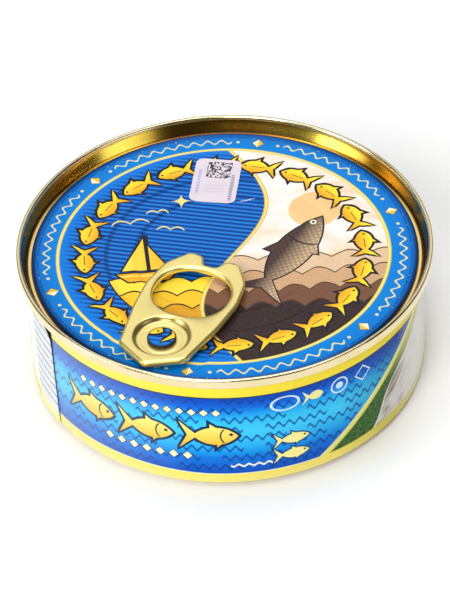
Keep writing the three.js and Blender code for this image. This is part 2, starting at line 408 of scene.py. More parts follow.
# ------------------------------------------------------------------ materials
def gold_material(name, colour, rough, fine=1.0, metal=1.0, dish=False, wall=None, coat=0.35):
    g = Graph(name)
    x, y, z = g.object_mm()
    r = g.disc(x, y, 0.0)
    cloud = g.noise(g.coord, 90.0, 3.0)
    streak = g.noise(g.vector(g.math("ARCTAN2", y, x) * 2.0, r * 3.0, z * 3.0), 6.0, 4.0)
    base = g.mix(g.map(cloud, 0.35, 0.7, 0.0, fine), colour, tuple(c * k for c, k in zip(colour[:3], (0.93, 0.90, 0.80))) + (1.0,))
    if wall:   # painted highlights: the wall's colour is lighter in four patches round it, where it catches the lights
        phi = abs(g.math("ARCTAN2", y, x) * (180 / math.pi))
        base = g.mix(g.map(abs(abs(phi - 92.0) - 32.0), 3.0, 20.0, 1.0, 0.0), base, wall)
        # painted highlight: a pale line round the foot of the wall
        base = g.mix(g.map(abs(r - 48.1), 0.18, 0.4, 1.0, 0.0), base, lin(255, 242, 196))
    if dish:   # painted shade: a darker ring round the dish's wall
        q = g.disc(x - RIVET[0], y - RIVET[1], 6.4)
        base = g.mix(g.map(abs(q), 0.2, 0.6, 0.6, 0.0), base, lin(92, 68, 16))
    b = g.bsdf
    g.put(base, b.inputs["Base Color"])
    b.inputs["Metallic"].default_value = metal
    g.put(g.map(streak, 0.3, 0.75, rough * (1 - 0.15 * fine), rough * (1 + 0.25 * fine)), b.inputs["Roughness"])
    b.inputs["Coat Weight"].default_value = coat
    b.inputs["Coat Roughness"].default_value = 0.06
    g.put(g.bump(cloud * 0.6 + streak * 0.4, 0.05 * fine, 0.0004), b.inputs["Normal"])
    return g.mat


def lid_print_material():
    g = Graph("lid_print")
    x, y, z = g.object_mm()
    r = g.disc(x, y, 0.0)
    th = g.math("ARCTAN2", y, x)

    # pinstriped field inside the ring, fading into the border near it
    v = x * 0.225 + y * 0.974
    line = (v * (2 * math.pi / 1.52)).sin()
    stripe = g.map(line, -0.55, 0.75, 0.0, 1.0)
    field = g.mix(stripe, BLUE_DARK, BLUE_LIGHT)
    col = g.mix(g.map(r, 36.8, 40.2, 0.0, 1.0), field, lin(8, 122, 222))

    # painted shade: the print darkens along the panel's steps, where their slopes fall into shade
    for q in STEP_RADII:
        col = g.mix(g.map(abs(r - q), 0.2, 0.85, 0.5, 0.0), col, lin(0, 34, 92))

    # pale field on the right, bounded by a long S
    wave = x - ((y * (math.pi / 40.0)).sin() * 8.5 + 2.5)
    sky = g.mix(g.map(g.noise(g.vector(x * 0.4, y * 1.2), 0.12, 2.0), 0.42, 0.66, 0.0, 1.0), WHITE, PEACH)
    pale = sky
    sun = g.disc(x - 23.0, y - 15.5, 6.6)
    pale = g.mix(g.fill(sun), pale, lin(250, 205, 140))
    # rows of waves, darker towards the bottom
    for level, amp, length, phase, colour in (
            (-3.0, 1.0, 9.0, 0.3, lin(232, 200, 160)), (-9.0, 1.1, 8.0, 2.1, SAND),
            (-15.0, 1.2, 7.4, 4.0, BROWN), (-21.0, 1.2, 7.0, 1.0, DARK_BROWN)):
        crest = abs((x * (math.pi / length) + phase).sin()) * (amp * 2.0) + level
        d = y - crest
        pale = g.mix(g.fill(d), pale, colour)
        pale = g.mix(g.fill(abs(d) - 0.22), pale, lin(90, 62, 40))
    grain = g.noise(g.vector(x, y), 1.6, 3.0)
    pale = g.mix(g.map(grain, 0.35, 0.75, 0.0, 0.16), pale, BROWN)
    # one large fish over the waves
    u, w = g.turn(x, y, 17.2, 0.6, 58.0)
    big = g.fish(u, w, 14.0, 4.6, True)
    scale = (abs((u * 1.9 + w * 1.9).sin()) * abs((u * 1.9 - w * 1.9).sin()))
    flesh = g.mix(g.map(w, -3.4, 2.2, 0.0, 1.0), lin(222, 190, 146), lin(84, 62, 46))
    flesh = g.mix(g.map(scale, 0.2, 0.9, 0.45, 0.0), flesh, lin(58, 40, 28))
    pale = g.mix(g.fill(big - 0.45), pale, lin(48, 32, 22))
    pale = g.mix(g.fill(big), pale, flesh)
    pale = g.mix(g.fill(g.gill(u, w, 14.0, 4.6, 0.24)), pale, lin(48, 32, 22))
    eye = g.disc(u - 11.2, w - 0.9, 0.85)
    pale = g.mix(g.fill(eye), pale, CREAM)
    pale = g.mix(g.fill(eye + 0.45), pale, INK)
    col = g.mix(g.fill(wave * -1.0), col, pale)

    # a golden sea with scalloped crests on the left
    sea = (r - 29.8).max(wave)
    for level, phase, tone in ((-10.4, 0.6, lin(254, 224, 60)), (-15.4, 2.2, lin(247, 198, 30)), (-20.4, 0.6, lin(228, 164, 14))):
        crest = y - level - abs((x * (math.pi / 7.0) + phase).sin()) * 1.9
        band = sea.max(crest * 0.8)
        col = g.mix(g.fill(band - 0.42), col, INK)
        col = g.mix(g.fill(band), col, tone)

    # a fine yellow line along the S
    col = g.mix(g.fill(abs(wave) - 0.55, 0.1), col, g.mix(g.fill(abs(wave) - 0.3, 0.2), lin(214, 170, 40), PALE_YELLOW))

    # a small boat with yellow sails
    bu, bv = g.turn(x, y, -19.0, -6.4, 5.0)
    hull = (bv - 0.2).max(bv * -1.0 - 2.9).max((abs(bu) - 7.4 - bv * 0.85) * 0.76)
    main = (1.3 - bv).max(bu + 0.1).max((bv - 13.6 - bu * 2.0) * 0.447)
    jib = (1.3 - bv).max(0.9 - bu).max((bv - 12.3 + bu * 2.1) * 0.43)
    mast = (abs(bu - 0.4) - 0.28).max(abs(bv - 7.0) - 7.2)
    boat = hull.min(main).min(jib).min(mast)
    col = g.mix(g.fill(boat - 0.5), col, INK)
    sail = g.mix(g.map(bu, -6.0, 5.0, 0.0, 1.0), lin(255, 232, 80), lin(242, 182, 22))
    col = g.mix(g.fill(main.min(jib)), col, sail)
    col = g.mix(g.fill(hull), col, g.mix(g.fill(abs(bv + 0.75) - 0.22), lin(240, 176, 20), lin(254, 232, 96)))

    # a ring of small yellow fish with dark outlines
    step = 2 * math.pi / 20
    a = g.repeat(th + 0.277, step) * 34.5 - 0.9
    bent = r - 34.5 - a * a * 0.006
    f = g.fish(a, bent, 3.7, 2.1, True)
    within = g.fill(abs(r - 34.5) - 4.6)
    col = g.mix(g.fill(f - 0.66) * within, col, INK)
    shade = g.mix(g.map(bent, -1.7, 1.4, 0.0, 1.0), lin(240, 172, 14), lin(254, 222, 44))
    col = g.mix(g.fill(f) * within, col, shade)
    col = g.mix(g.fill((abs(bent - 0.1) - 0.12).max(abs(a + 0.9) - 1.7)), col, lin(120, 78, 6))
    col = g.mix(g.fill(g.disc(a - 2.55, bent - 0.32, 0.3)), col, INK)

    # a small pale star and three gulls on the striped field
    sx, sy = x + 10.5, y - 21.0
    star = (abs(sx).sqrt() + abs(sy).sqrt()) - 1.7
    col = g.mix(g.fill(star, 0.05), col, PALE_YELLOW)
    for gx, gy, size, lean in ((-23.5, 14.0, 1.35, 8.0), (-13.2, 11.2, 1.0, -6.0), (-16.6, 17.6, 0.8, 4.0)):
        gu, gv = g.turn(x, y, gx, gy, lean)
        arch = abs(gu) * (1 / size) - 1.7
        gull = (abs(gv + arch * arch * (0.36 * size)) * 0.8 - 0.2).max(abs(gu) - 3.5 * size)
        col = g.mix(g.fill(gull), col, PALE_YELLOW)

    # yellow ring, then the border with lozenges and ripples
    border = g.mix(g.map(r, 41.0, 46.6, 0.0, 1.0), lin(0, 131, 216), BLUE_BAND)
    # painted shade: the border darkens towards the seam, darkest on the bead beside the recess
    border = g.mix(g.map(r, 45.7, 46.4, 0.0, 0.45), border, lin(0, 62, 140))
    border = g.mix(g.map(r, 46.4, 47.2, 0.0, 0.92), border, lin(0, 24, 58))
    col = g.mix(g.fill(40.9 - r), col, border)
    px = x + 0.3
    ring = abs(g.disc(px, y, 40.85)) - 0.46
    col = g.mix(g.fill(ring), col, g.mix(g.fill(abs(g.disc(px, y, 40.85)) - 0.3), lin(206, 190, 60), PALE_YELLOW))
    sixth = math.pi / 3
    b = g.repeat(th - 0.30, sixth) * 44.0
    m = r - 44.0
    tile = abs(b) * 0.9 + abs(m) * 0.8 - 1.25
    col = g.mix(g.fill(tile - 0.22), col, lin(120, 96, 30))
    col = g.mix(g.fill(tile), col, g.mix(g.fill(b, 0.1), CREAM, lin(232, 196, 60)))
    c = g.repeat(th - 0.30 + sixth / 2, sixth) * 44.0
    run = abs(c) - 16.2
    ripple = abs(m - (c * (2 * math.pi / 3.6)).sin() * 0.72) * 0.72 - 0.2
    col = g.mix(g.fill(ripple.max(run), 0.12), col, lin(226, 222, 160))
    dot = g.disc(abs(c) - 17.8, m, 0.45)
    col = g.mix(g.fill(dot, 0.12), col, lin(226, 222, 160))

    # the score shows as a fine darker line with specks of bare metal
    score = g.fill(abs(r - SCORE_R) - 0.12, 0.12)
    speck = g.noise(g.vector(th * 46.0, r), 2.2, 2.0)
    col = g.mix(score * 0.75, col, lin(0, 44, 110))
    col = g.mix(score * g.map(speck, 0.62, 0.68, 0.0, 1.0), col, lin(226, 220, 190))

    # a light scuff
    su, sv = g.turn(x, y, 6.0, 20.6, 12.0)
    scuff = g.fill(g.lens(su, sv, 2.2, 0.26), 0.2) * g.map(g.noise(g.vector(x, y), 3.0), 0.4, 0.6, 0.0, 1.0)
    col = g.mix(scuff, col, lin(225, 232, 245))

    # painted shade: the rivet head's rim and the panel just round it are darkened, standing in for the shade at its
    # side
    col = g.mix(g.map(g.disc(x - RIVET[0], y - RIVET[1], 0.0), 2.95, 3.25, 0.0, 1.0) * g.fill(g.disc(x - RIVET[0], y - RIVET[1], 4.2)), col, lin(46, 36, 20))

    dots = g.noise(g.coord, 1500.0, 2.0)
    col = g.mix(g.map(dots, 0.3, 0.8, 0.0, 0.05), col, lin(40, 150, 235))
    bs = g.bsdf
    g.put(col, bs.inputs["Base Color"])
    bs.inputs["Metallic"].default_value = 0.05
    cloud = g.noise(g.coord, 60.0, 3.0)
    g.put(g.map(cloud, 0.3, 0.7, 0.28, 0.38), bs.inputs["Roughness"])
    bs.inputs["Specular IOR Level"].default_value = 0.06
    bs.inputs["Coat Weight"].default_value = 0.14
    bs.inputs["Coat Roughness"].default_value = 0.06
    g.put(g.bump(cloud, 0.06, 0.0006), bs.inputs["Normal"])
    return g.mat


def label_material():
    g = Graph("label_print")
    u, v = g.uv("wrap")            # degrees from +X, and height in mm
    half_turn = g.math("GREATER_THAN", u, 62.0)   # the design runs round twice
    s = (u - half_turn * 185.0) * (math.pi / 180 * 49.7)  # mm round the wall
    front = -90.0 * math.pi / 180 * 49.7

    # panel between two yellow borders
    panel = g.ramp(g.map(v, 5.0, 29.4, 0.0, 1.0), [
        (0.0, lin(6, 76, 186)), (0.12, lin(2, 104, 208)), (0.20, lin(4, 118, 216)), (0.27, lin(12, 150, 228)),
        (0.43, lin(52, 192, 242)), (0.55, lin(64, 204, 250)), (0.68, lin(48, 192, 242)), (0.80, lin(10, 144, 232)),
        (0.87, lin(0, 96, 212)), (1.0, lin(0, 60, 172))])
    # painted shade: the blue panel darkens towards its right end, away from the light
    panel = g.mix(g.map(s - front, 27.0, 46.0, 0.0, 0.55), panel, lin(20, 54, 108))

    # rows of small dark ripples
    row = g.math("FLOOR", (v - 5.2) / 3.05)
    rv = v - 6.7 - row * 3.05
    odd = g.math("MODULO", row, 2.0)
    rs = g.repeat(s + odd * 10.4, 20.8)
    mark = (abs(rv - (s * (2 * math.pi / 2.6)).sin() * 0.7) * 0.75 - 0.33).max(abs(rs) - 7.8)
    panel = g.mix(g.fill(mark, 0.12) * 0.8, panel, lin(0, 58, 156))

    # three yellow fish
    fs = s - front + 21.0
    fu = g.repeat(fs, 15.6)
    fish = g.fish(fu - 1.5, v - 17.0, 5.4, 2.75, True)
    three = g.fill(abs(fs) - 23.3)
    panel = g.mix(g.fill(fish - 0.75) * three, panel, lin(22, 40, 80))
    body = g.mix(g.map(v, 14.6, 20.2, 0.0, 1.0), lin(240, 196, 50), lin(252, 238, 120))
    panel = g.mix(g.fill(fish) * three, panel, body)
    panel = g.mix(g.fill(g.disc(fu - 5.2, v - 17.5, 0.46)) * three, panel, lin(22, 40, 80))
    panel = g.mix(g.fill(g.gill(fu - 1.5, v - 17.0, 5.4, 2.75, 0.2)) * three, panel, lin(60, 60, 40))

    # cream beads above and below them
    for level, pitch, half, size, centre in ((24.4, 2.9, 18.85, 1.0, -21.0), (10.2, 3.4, 11.9, 1.15, -21.0)):
        cs = s - front - centre
        bead = abs(g.repeat(cs, pitch)) + abs(v - level) * 0.95 - size
        panel = g.mix(g.fill(bead - 0.3) * g.fill(abs(cs) - half), panel, lin(10, 60, 130))
        panel = g.mix(g.fill(bead) * g.fill(abs(cs) - half), panel, lin(250, 244, 190))

    # two pale fish and plain outline marks to the right
    for level in (13.6, 8.7):
        cu = s - front - 14.6
        two = g.fish(cu - 0.6, v - level, 3.6, 1.5, True)
        panel = g.mix(g.fill(two - 0.42), panel, lin(10, 56, 124))
        panel = g.mix(g.fill(two), panel, lin(251, 240, 150))
        panel = g.mix(g.fill(g.disc(cu - 3.0, v - level - 0.3, 0.32)), panel, lin(10, 56, 124))
    small = (abs(s - front - 4.5) - 5.0).max(abs(v - 7.2 - (s * 2.6).sin() * 0.35) - 0.3)
    panel = g.mix(g.fill(small), panel, lin(240, 244, 230))
    oval = abs(g.disc((s - front - 12.8) * 0.62, v - 25.4, 2.1)) - 0.2
    rings = abs(g.disc(s - front - 27.0, v - 25.4, 2.2)) - 0.22
    rings = rings.min(g.disc(s - front - 27.0, v - 25.4, 1.0))
    lozenge = abs(abs(s - front - 34.0) + abs(v - 25.4) - 2.3) - 0.24
    panel = g.mix(g.fill(oval.min(rings).min(lozenge)), panel, lin(214, 236, 248))
    little = g.fish(s - front - 20.6, v - 25.4, 1.9, 1.35)
    panel = g.mix(g.fill(little), panel, lin(244, 238, 160))

    # slanting stripe: a green field and a pale field to its right
    slope = (s - front) - ((v - 4.6) * 1.35 + 21.35)
    leaf = g.noise(g.vector(s * 0.5 + v * 0.9, v * 0.8 - s * 0.3), 1.3, 5.0, 0.65)
    green = g.ramp(leaf, [(0.3, lin(26, 58, 16)), (0.5, lin(54, 98, 31)), (0.72, lin(106, 141, 57))])
    green = g.mix(g.map(v, 17.0, 25.5, 0.0, 0.8), green, lin(222, 214, 110))
    bend = (s - front) - ((v - 4.6) * 0.9 + 36.5 + ((v * 0.32).sin() * 1.6))
    soft = g.noise(g.vector(s * 0.35 + v * 0.25, v * 0.9 - s * 0.4), 0.5, 4.0, 0.6)
    pale = g.ramp(soft, [(0.38, lin(226, 222, 216)), (0.54, lin(206, 198, 189)), (0.70, lin(160, 140, 123))])
    lu, lv = g.turn(s, v, front + 46.0, 14.2, 34.0)
    leaf_d = g.lens(lu, lv, 7.5, 1.7)
    pale = g.mix(g.fill(leaf_d, 0.6) * 0.75, pale, lin(128, 104, 88))
    pale = g.mix(g.fill(abs(lv) - 0.18) * g.fill(leaf_d), pale, lin(230, 214, 196))
    # painted light: the pale field whitens towards its right end, where the label's edge catches the light
    pale = g.mix(g.map(s - front, 45.0, 58.0, 0.0, 0.75), pale, lin(246, 243, 238))
    # round at the side, a plate with a fish and two leaves
    pu, pv = s - front - 95.0 + half_turn * 25.0, v - 17.1
    plate = g.disc(pu * 0.66, pv, 9.6)
    pale = g.mix(g.fill(plate - 0.5, 2.6) * 0.22, pale, lin(120, 108, 98))
    pale = g.mix(g.fill(plate), pale, lin(238, 240, 242))
    pale = g.mix(g.fill(abs(plate + 0.35) - 0.22), pale, lin(206, 178, 72))
    pale = g.mix(g.fill(abs(plate + 2.2) - 0.16), pale, lin(70, 140, 204))
    for lx, ly, tilt in ((-3.6, 4.9, 14.0), (4.4, -5.0, 196.0)):
        au, av = g.turn(pu, pv, lx, ly, tilt)
        pale = g.mix(g.fill(g.lens(au, av, 3.9, 1.15), 0.12), pale, lin(84, 132, 48))
        pale = g.mix(g.fill((abs(av) - 0.1).max(abs(au) - 3.4)), pale, lin(190, 208, 120))
    big = g.fish(pu - 1.2, pv, 7.6, 2.6, True)
    pale = g.mix(g.fill(big - 0.3), pale, lin(48, 44, 46))
    pale = g.mix(g.fill(big), pale, g.mix(g.map(pv, -1.8, 1.8, 0.0, 1.0), lin(226, 216, 196), lin(92, 96, 108)))
    gill = abs(g.disc(pu - 8.6, pv, 3.1)) - 0.12
    pale = g.mix(g.fill(gill) * g.fill(g.lens(pu - 1.2, pv, 7.6, 2.6) + 0.2), pale, lin(48, 44, 46))
    pale = g.mix(g.fill(g.disc(pu - 7.1, pv - 0.3, 0.36)), pale, lin(28, 26, 28))
    right = g.mix(g.fill(bend * -1.0, 0.25), green, pale)
    right = g.mix(g.fill(abs(bend) - 0.35, 0.4) * 0.7, right, lin(240, 240, 226))
    panel = g.mix(g.fill(slope * -1.0), panel, right)
    gilt = g.mix(g.map(slope, 0.1, 1.0, 0.0, 1.0), lin(232, 232, 196), lin(240, 232, 116))
    gilt = g.mix(g.map(slope, 1.8, 3.2, 0.0, 0.8), gilt, lin(206, 198, 84))
    panel = g.mix(g.fill(abs(slope - 1.6) - 1.6, 0.15), panel, gilt)

    panel = g.mix(g.fill(abs(u - 62.0) - 0.9, 0.1), panel, lin(250, 232, 70))

    # painted reflection: the yellow border pales towards the label's lower edge, where it mirrors the floor
    border = g.mix(g.map(v, 2.0, 6.0, 0.0, 1.0), lin(248, 232, 128), lin(250, 226, 54))
    # painted shade: the lower border darkens towards the right, away from the light
    border = g.mix(g.map(u, -60.0, -42.0, 0.0, 0.85) * g.fill(v - 15.0), border, lin(219, 207, 80))
    edge_hi = g.fill(v - 29.2)
    foot = v + g.map(u, -122.0, -98.0, 0.0, 0.55)
    edge_lo = g.fill(5.0 - foot)
    col = g.mix(edge_hi * edge_lo, border, panel)
    top_line = g.fill(abs(v - 29.2) - 0.16, 0.12)
    low_line = g.fill(abs(foot - 5.05) - 0.14, 0.12)
    blue_only = g.fill(slope, 0.3)
    col = g.mix(top_line * blue_only, col, lin(40, 44, 60))
    col = g.mix(low_line * blue_only, col, lin(236, 240, 220))

    # painted sheen: the label is paler towards the lap, where light glances off it
    col = g.mix(g.map(u, -102.0, -146.0, 0.0, 0.3), col, lin(178, 196, 196))

    # painted highlight: the label pales round its right edge, where it catches the light
    col = g.mix(g.map(abs(u + 20.0), 2.0, 16.0, 0.45, 0.0), col, lin(250, 248, 236))

    # a ruled white panel before the lap
    info = g.fill(200.0 - u, 0.3)
    white = g.mix(g.map(g.noise(g.vector(s, v), 0.6, 2.0), 0.3, 0.7, 0.0, 1.0), lin(222, 225, 227), lin(213, 216, 220))
    rule = g.fill(abs(g.repeat(v + (u - 200.0) * 0.02, 2.7)) - 0.3, 0.14) * g.fill(abs(v - 18.0) - 12.2)
    gaps = g.map(g.noise(g.vector(s * 0.9, g.math("FLOOR", v / 2.7 + 0.5) * 7.0), 1.0, 2.0), 0.38, 0.46, 0.0, 1.0)
    white = g.mix(rule * gaps * 0.7, white, lin(84, 90, 102))
    white = g.mix(g.fill(v - 4.2) * 0.9, white, lin(250, 236, 130))
    col = g.mix(info, col, white)
    # painted shade: the under layer's end, seen in the gap below the lap's corner, is dark to stand in for the shade
    # there
    under = g.fill(u + 148.0, 0.3)
    col = g.mix(under, col, lin(14, 18, 30))

    fibre = g.noise(g.vector(s, v), 9.0, 4.0, 0.6)
    col = g.mix(g.map(fibre, 0.3, 0.75, 0.0, 0.04), col, lin(90, 170, 230))
    b = g.bsdf
    g.put(col, b.inputs["Base Color"])
    b.inputs["Metallic"].default_value = 0.0
    g.put(g.map(fibre, 0.3, 0.7, 0.34, 0.46), b.inputs["Roughness"])
    b.inputs["Specular IOR Level"].default_value = 0.06
    b.inputs["Coat Weight"].default_value = 0.04
    b.inputs["Coat Roughness"].default_value = 0.16
    wob = g.noise(g.vector(s * 0.5, v * 0.25), 0.35, 2.0)
    g.put(g.bump(fibre * 0.25 + wob, 0.10, 0.0008), b.inputs["Normal"])
    return g.mat


def sticker_material():
    g = Graph("sticker_print")
    u, v = g.uv("face")           # mm about the sticker's middle
    fibre = g.noise(g.vector(u, v), 5.0, 4.0, 0.6)
    col = g.mix(g.map(fibre, 0.3, 0.7, 0.0, 1.0), lin(226, 215, 225), lin(217, 206, 216))
    # made-up blocks
    n = g.node("ShaderNodeTexWhiteNoise", noise_dimensions="2D")
    g.nt.links.new(g.vector(g.math("FLOOR", u / 0.42), g.math("FLOOR", v / 0.42)), n.inputs["Vector"])
    block = g.fill(0.5 - V(g, n.outputs["Value"]), 0.01)
    square = g.fill((abs(u - 0.4) - 3.15).max(abs(v - 4.2) - 3.15), 0.06)
    col = g.mix(square * block, col, lin(52, 44, 60))
    # rows of dashes
    dash = g.fill(abs(u + 4.3) - 0.42, 0.1) * g.fill(abs(g.repeat(v, 1.1)) - 0.4, 0.1) * g.fill(abs(v + 0.6) - 4.8)
    col = g.mix(dash * 0.55, col, lin(140, 130, 220))
    grey = g.fill(abs(u - 4.3) - 0.45, 0.1) * g.fill(abs(g.repeat(v, 0.82)) - 0.27, 0.1) * g.fill(abs(v + 2.4) - 4.9)
    col = g.mix(grey * 0.75, col, lin(92, 84, 104))
    pale = g.fill(abs(g.repeat(v + 0.4, 1.3)) - 0.25, 0.1) * g.fill((abs(u) - 2.6).max(abs(v + 2.6) - 2.2))
    col = g.mix(pale * 0.22, col, lin(170, 160, 180))
    b = g.bsdf
    g.put(col, b.inputs["Base Color"])
    g.put(g.map(fibre, 0.3, 0.7, 0.5, 0.62), b.inputs["Roughness"])
    g.put(g.bump(fibre, 0.08, 0.0004), b.inputs["Normal"])
    return g.mat


# the wall colour is the painted highlight on four patches of the inner wall
GOLD = gold_material("gold_lacquer", lin(164, 122, 38), 0.19, fine=0.5, wall=lin(246, 212, 88), coat=0.03)
SEAM_GOLD = gold_material("seam_gold", lin(235, 220, 177), 0.19)
# dish=True paints shade into a ring round the dish's wall
TAB_GOLD = gold_material("tab_gold", lin(253, 234, 150), 0.29, fine=0.4, metal=0.88, dish=True)
PRINT = lid_print_material()
LABEL = label_material()
STICKER = sticker_material()


# ------------------------------------------------------------------ body
def build_body():
    corner = [(BODY_R - 2.2 + 2.2 * math.cos(a), 2.2 + 2.2 * math.sin(a)) for a in np.radians(np.linspace(-90, 0, 14))]
    profile = [(0, 1.0)] + finer([
        (8, 1.0), (29.6, 1.0), (30.3, 1.03), (31.0, 1.32), (31.8, 1.36), (36.3, 1.36), (37.0, 1.32), (37.7, 1.03),
        (38.4, 1.0), (41.6, 1.0), (42.5, 0.9), (43.1, 0.3), (43.7, 0.02), (44.4, 0.0)], 2)
    profile += [(46.5, 0.0)] + corner
    profile += [(BODY_R, z) for z in (4.0, 12.0, 22.0, 31.0, 33.15)]
    profile += [(49.2, 33.25), (49.15, 33.2), (49.15, 30.0), (0, 30.0)]
    v, f, _ = lathe(profile, 256)
    return make_object("can_body", v, f, [SEAM_GOLD])


# ------------------------------------------------------------------ lid
def build_lid():
    under = [(0, 30.3), (30, 30.3), (48.5, 30.3), (48.85, 30.42), (49.02, 30.75), (49.05, 31.4), (49.05, 33.2), (49.2, 33.38)]
    seam = finer([
        (49.6, 33.42), (50.55, 33.4), (50.92, 33.4), (51.12, 33.56), (51.15, 33.95), (51.12, 34.5), (51.12, 35.0),
        (51.15, 35.35), (51.06, 35.72), (50.84, 35.94), (50.53, 36.012), (50.23, 35.95), (50.05, 35.72), (49.93, 35.4),
        (49.76, 34.9), (49.48, 34.3), (49.18, 33.72), (48.86, 33.1), (48.56, 32.5), (48.34, 32.0), (48.25, 31.66),
        (48.15, 31.47), (48.02, 31.44), (47.9, 31.49), (47.8, 31.72), (47.7, 32.0), (47.62, 32.25), (47.5, 32.46), (47.28, 32.6), (47.05, 32.55),
        (46.84, 32.4), (46.66, 32.29), (46.45, 32.25)], 2)
    radii = [46.3, 46.2, 46.12, 46.06, 46.0, 45.94, 45.88, 45.8, 45.6]
    r = 45.2
    while r > 20.5:
        radii.append(r)
        r -= 0.45
    radii += [20.0, 18.5, 17.0, 15.0, 12.5, 10.0, 7.5, 5.0, 2.5, 0.0]
    profile = under + seam + [(q, None) for q in radii]
    # the print starts at its own edge, so one ring sits exactly there
    k = min(range(len(profile)), key=lambda i: abs(profile[i][0] - PRINT_R) if (profile[i][1] or 0) > 31.6 and profile[i][0] < 48 else 1e9)

    def height(x, y, z):
        if z is None:
            return panel_height(np.asarray(x, float), np.asarray(y, float))
        return np.full_like(np.asarray(x, float), z)

    v, f, ring = lathe(profile, 384, height)
    # pale lacquer outside and over the seam, richer gold on the inner wall
    w = next(i for i in range(len(under), len(profile)) if profile[i][0] < 49.9 and (profile[i][1] or 0) > 34)
    index = [1 if n >= k else (0 if n >= w else 2) for n in ring]

    # the rivet's head and stem, drawn up from the panel
    z0 = TAB_Z + 0.78
    prof = [(2.75, 31.2), (2.5, 32.2), (2.35, 32.6), (2.3, z0 + 0.2)] + finer([
        (2.4, z0 + 0.26), (3.3, z0 + 0.26), (3.48, z0 + 0.36), (3.5, z0 + 0.55), (3.4, z0 + 0.74), (3.15, z0 + 0.82),
        (2.85, z0 + 0.80), (2.6, z0 + 0.79), (1.2, z0 + 0.79)], 2) + [(0.0, z0 + 0.79)]
    rv, rf, rr = lathe([(0.0, 31.2)] + prof, 64)
    base = len(v)
    for a, b, c in rv:
        px, py = from_tab(a, -b)
        v.append((px, py, c))
    f += [tuple(i + base for i in q) for q in rf]
    index += [1] * len(rf)
    return make_object("can_lid", v, f, [GOLD, PRINT, SEAM_GOLD], index)


# ------------------------------------------------------------------ ring-pull tab
def tab_outline():
    half = [((-10.6, 0.0), 2.2), ((-5.7, 8.7), 2.8), ((8.0, 11.35), 30.0), ((16.5, 12.1), 9.0), ((24.8, 10.9), 7.0),
            ((30.9, 6.6), 2.3), ((30.5, 3.0), 1.5), ((27.6, 1.5), 1.1)]
    pts = [p for p, _ in half] + [(s, -t) for (s, t), _ in reversed(half[1:])]
    rad = [q for _, q in half] + [q for _, q in reversed(half[1:])]
    # counter-clockwise in (along, -across) is clockwise here, so reverse
    o = fillet(pts, rad)
    area = 0.5 * np.sum(o[:, 0] * np.roll(o[:, 1], -1) - np.roll(o[:, 0], -1) * o[:, 1])
    return o if area > 0 else o[::-1]


def hole_outline():
    a = np.linspace(0, 2 * np.pi, 160, endpoint=False)
    c, d = np.cos(a), np.sin(a)
    k = (np.abs(c) ** 2.3 + np.abs(d) ** 2.3) ** (-1 / 2.3)
    return np.stack([17.0 + 8.5 * c * k, 9.4 * d * k], 1)


